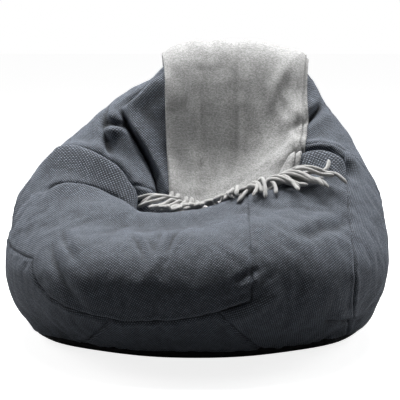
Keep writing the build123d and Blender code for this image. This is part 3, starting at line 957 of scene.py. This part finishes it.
def floor_of(x, y):
    hit = BAG.ray_cast(Vector((x, y, 1.2)), Vector((0, 0, -1)))
    return hit[0].z if hit[0] is not None else 0.0


def rope(line, radius, twist, seed, verts, faces):
    """Two-ply twisted tassel: a knot at the cloth, then a rope that frays a little at its end."""
    ring = 10
    line = np.array(line)
    run = np.r_[0, np.cumsum(np.linalg.norm(np.diff(line, axis=0), axis=1))]
    s = run[-1] * np.r_[np.linspace(0, 0.94, 24), 0.965, 0.985, 0.995, 1.0]
    p = np.stack([np.interp(s, run, line[:, k]) for k in range(3)], axis=1)
    for _ in range(3):
        p[1:-1] = (p[:-2] + 2 * p[1:-1] + p[2:]) / 4
    t = np.gradient(p, axis=0)
    t /= np.linalg.norm(t, axis=1)[:, None]
    a = np.cross(t[0], (0.3, 0.2, 0.9))
    a /= np.linalg.norm(a)
    start = len(verts)
    for i in range(len(p)):
        a = a - t[i] * (a @ t[i])
        a /= np.linalg.norm(a)
        b = np.cross(t[i], a)
        q = s[i] / run[-1]
        knot = 0.30 * math.exp(-(((q - 0.10) / 0.05) ** 2))
        end = math.sqrt(max(0.03, 1 - max(0.0, (q - 0.955) / 0.046) ** 2)) * (1 + 0.10 * math.exp(-(((q - 0.90) / 0.06) ** 2)))
        for k in range(ring):
            phi = 2 * math.pi * k / ring
            lobe = 0.90 + 0.12 * abs(math.cos(phi - twist * s[i] + seed))
            r = radius * (lobe + knot) * end
            verts.append(p[i] + a * math.cos(phi) * r + b * math.sin(phi) * r)
    for i in range(len(p) - 1):
        for k in range(ring):
            m = (k + 1) % ring
            faces.append((start + i * ring + k, start + i * ring + m, start + (i + 1) * ring + m, start + (i + 1) * ring + k))
    faces.append(tuple(start + k for k in reversed(range(ring))))
    faces.append(tuple(start + (len(p) - 1) * ring + k for k in range(ring)))


def front_fringe():
    """Loose cords that fan out of the cloth's end, bridge the hollow and lie over the lip in a heap."""
    verts, faces = [], []
    count = 20
    for layer in (0, 1, 2):
        for k in range(count):
            w = (k + 0.5 + 0.25 * RNG.uniform(-1, 1)) / count
            raise_by = 0.003 + LAYER * layer * 1.2 + folds_across(w, 0.0)
            p0 = at(0, w * (COLS - 1), raise_by)
            p1 = at(2, w * (COLS - 1), raise_by)
            spread = -1.4 + 2.65 * w ** 0.8 + RNG.uniform(-0.40, 0.40)
            reach_out = (0.108 + 0.034 * w) * RNG.uniform(0.82, 1.12)
            line = [p1, p0]
            x, y = float(p0[0]), float(p0[1])
            lift = 0.0056 + 0.0085 * layer + RNG.uniform(0, 0.006)
            curl = RNG.uniform(-1.3, 1.3)
            arch = RNG.uniform(0.004, 0.018)
            steps = 10
            for j in range(1, steps + 1):
                q = j / steps
                heading = spread * (0.55 + 0.8 * q) + curl * q * q
                x += math.sin(heading) * reach_out / steps
                y -= math.cos(heading) * reach_out / steps * 0.95
                ground = floor_of(x, y)
                bridge = float(p0[2]) + (0.362 + 0.25 * max(x, 0.0) - float(p0[2])) * min(1.0, q * 1.2) - 0.004
                z = max(ground + lift * (1 - 0.3 * q), min(bridge, ground + 0.035)) + arch * math.sin(math.pi * q)
                line.append(np.array((x, y, z)))
            line = np.array(line)
            for i in range(3, len(line)):
                line[i, 2] = max(line[i, 2], line[i - 1, 2] - 0.012)
            rope(line, 0.0050, 300.0, RNG.uniform(0, 3), verts, faces)
    return verts, faces


def back_fringe():
    verts, faces = [], []
    count = 16
    for layer in (0, 1, 2):
        for k in range(count):
            w = (k + 0.5 + 0.2 * RNG.uniform(-1, 1)) / count
            p0 = at(ROWS - 1, w * (COLS - 1), 0.003 + LAYER * layer * 1.2 + folds_across(w, 1.0))
            p1 = at(ROWS - 3, w * (COLS - 1), 0.003 + LAYER * layer * 1.2 + folds_across(w, 1.0))
            sway = RNG.uniform(-0.006, 0.006)
            drop = 0.090 * RNG.uniform(0.92, 1.06)
            line = [p1, p0]
            for j in range(1, 8):
                q = j / 7
                line.append(p0 + np.array((sway * q, 0.002 * layer * q - 0.003 * q, -drop * q)))
            rope(line, 0.0043, 520.0, RNG.uniform(0, 3), verts, faces)
    return verts, faces


for name, made, node in (("fringe_front", front_fringe(), "throw_front_fringe"), ("fringe_back", back_fringe(), "throw_back_fringe")):
    ob = mesh_piece(name, *made)
    ob.data.materials.append(YARN)
    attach(ob, "bag")
    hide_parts(node)

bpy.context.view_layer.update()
